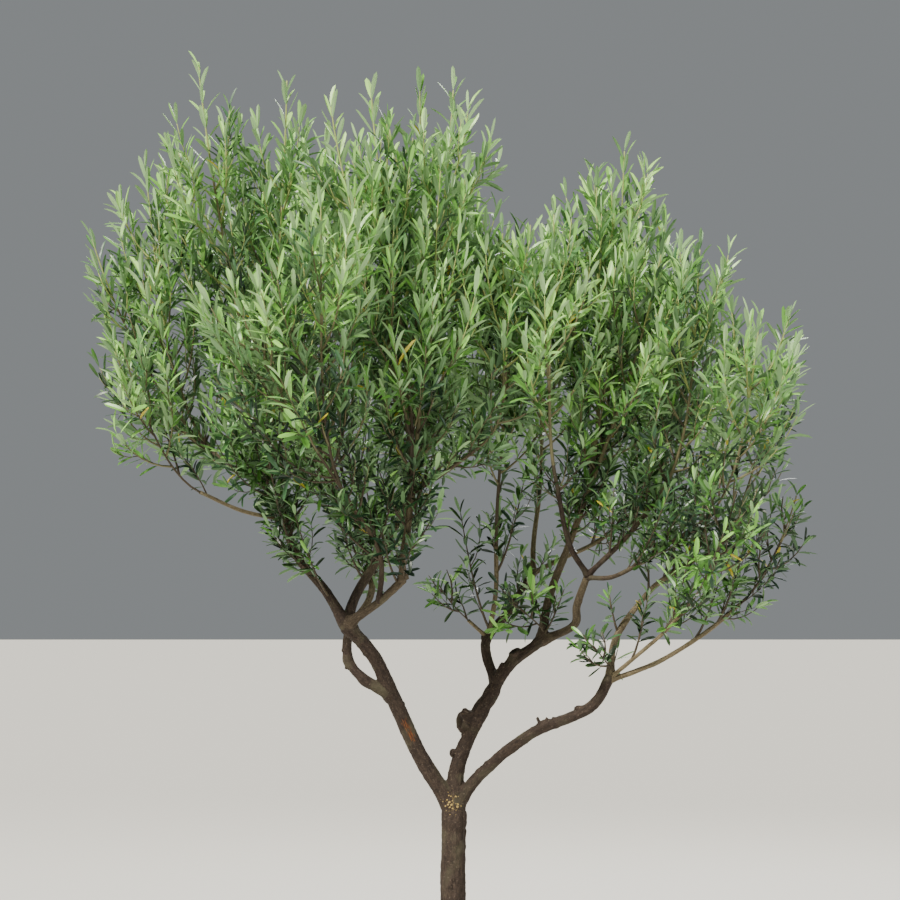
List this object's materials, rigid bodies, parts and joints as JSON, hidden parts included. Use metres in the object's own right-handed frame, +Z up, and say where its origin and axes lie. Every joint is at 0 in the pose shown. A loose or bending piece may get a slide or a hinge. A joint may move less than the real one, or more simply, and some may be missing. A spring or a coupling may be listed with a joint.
{
  "type": "young olive tree",
  "caption": "Young olive tree with a short straight trunk, low spreading boughs and an open vase-shaped crown of upright shoots with narrow grey-green leaves.",
  "frame": {"origin": "middle of the trunk's flat cut at ground level", "axes": "+Z up along the trunk, +X towards the lower of the crown's lobes, -Y towards the side that the picture shows"},
  "size_m": [1.5335, 1.0195, 2.1494],
  "materials": {
    "bark": "dull brown-grey bark, finely cracked",
    "young_bark": "smooth pale grey-green young bark",
    "leaves_grey_green": "leathery grey-green leaves, paler underneath",
    "leaves_pale_green": "leathery pale green leaves, silvery underneath",
    "leaves_deep_green": "leathery deep grey-green leaves, paler underneath"
  },
  "bodies": {
    "root": {"trunk": "bark", "left_bough": "bark", "middle_bough": "bark", "right_bough": "bark", "left_outer_limb": "bark", "left_long_limb": "bark", "left_low_limb": "young_bark", "left_back_limb": "bark", "loop_limb": "bark", "left_rear_limb": "bark", "left_front_limb": "bark", "left_front_riser": "bark", "crossing_limb": "young_bark", "front_left_limb": "bark", "middle_left_limb": "bark", "rear_upright_limb": "bark", "rear_right_limb": "young_bark", "middle_upright_limb": "young_bark", "middle_spur": "young_bark", "middle_fork_limb": "bark", "crown_right_limb": "young_bark", "right_knee_limb": "bark", "dark_upright_limb": "bark", "right_rising_limb": "bark", "right_long_limb": "young_bark", "right_inner_limb": "bark", "right_middle_limb": "young_bark", "right_low_limb": "young_bark", "far_left_foliage": "leaves_grey_green", "left_shoulder_foliage": "leaves_pale_green", "left_peak_foliage": "leaves_deep_green", "left_crest_foliage": "leaves_grey_green", "inner_left_foliage": "leaves_pale_green", "left_front_foliage": "leaves_deep_green", "left_face_foliage": "leaves_grey_green", "front_crest_foliage": "leaves_pale_green", "inner_crest_foliage": "leaves_deep_green", "centre_peak_foliage": "leaves_grey_green", "back_crest_foliage": "leaves_pale_green", "back_centre_foliage": "leaves_deep_green", "rear_left_foliage": "leaves_grey_green", "rear_far_left_foliage": "leaves_pale_green", "low_left_foliage": "leaves_deep_green", "bridge_foliage": "leaves_grey_green", "spur_foliage": "leaves_pale_green", "middle_tuft_foliage": "leaves_deep_green", "rear_middle_foliage": "leaves_grey_green", "rear_right_foliage": "leaves_pale_green", "rear_peak_foliage": "leaves_deep_green", "middle_foliage": "leaves_grey_green", "right_crest_foliage": "leaves_pale_green", "right_peak_foliage": "leaves_deep_green", "right_face_foliage": "leaves_grey_green", "dark_limb_foliage": "leaves_pale_green", "right_shoulder_foliage": "leaves_deep_green", "right_outer_foliage": "leaves_grey_green", "far_right_foliage": "leaves_pale_green", "low_front_foliage": "leaves_deep_green", "low_right_foliage": "leaves_grey_green", "fork_tuft_foliage": "leaves_pale_green"}
  },
  "joints": []
}
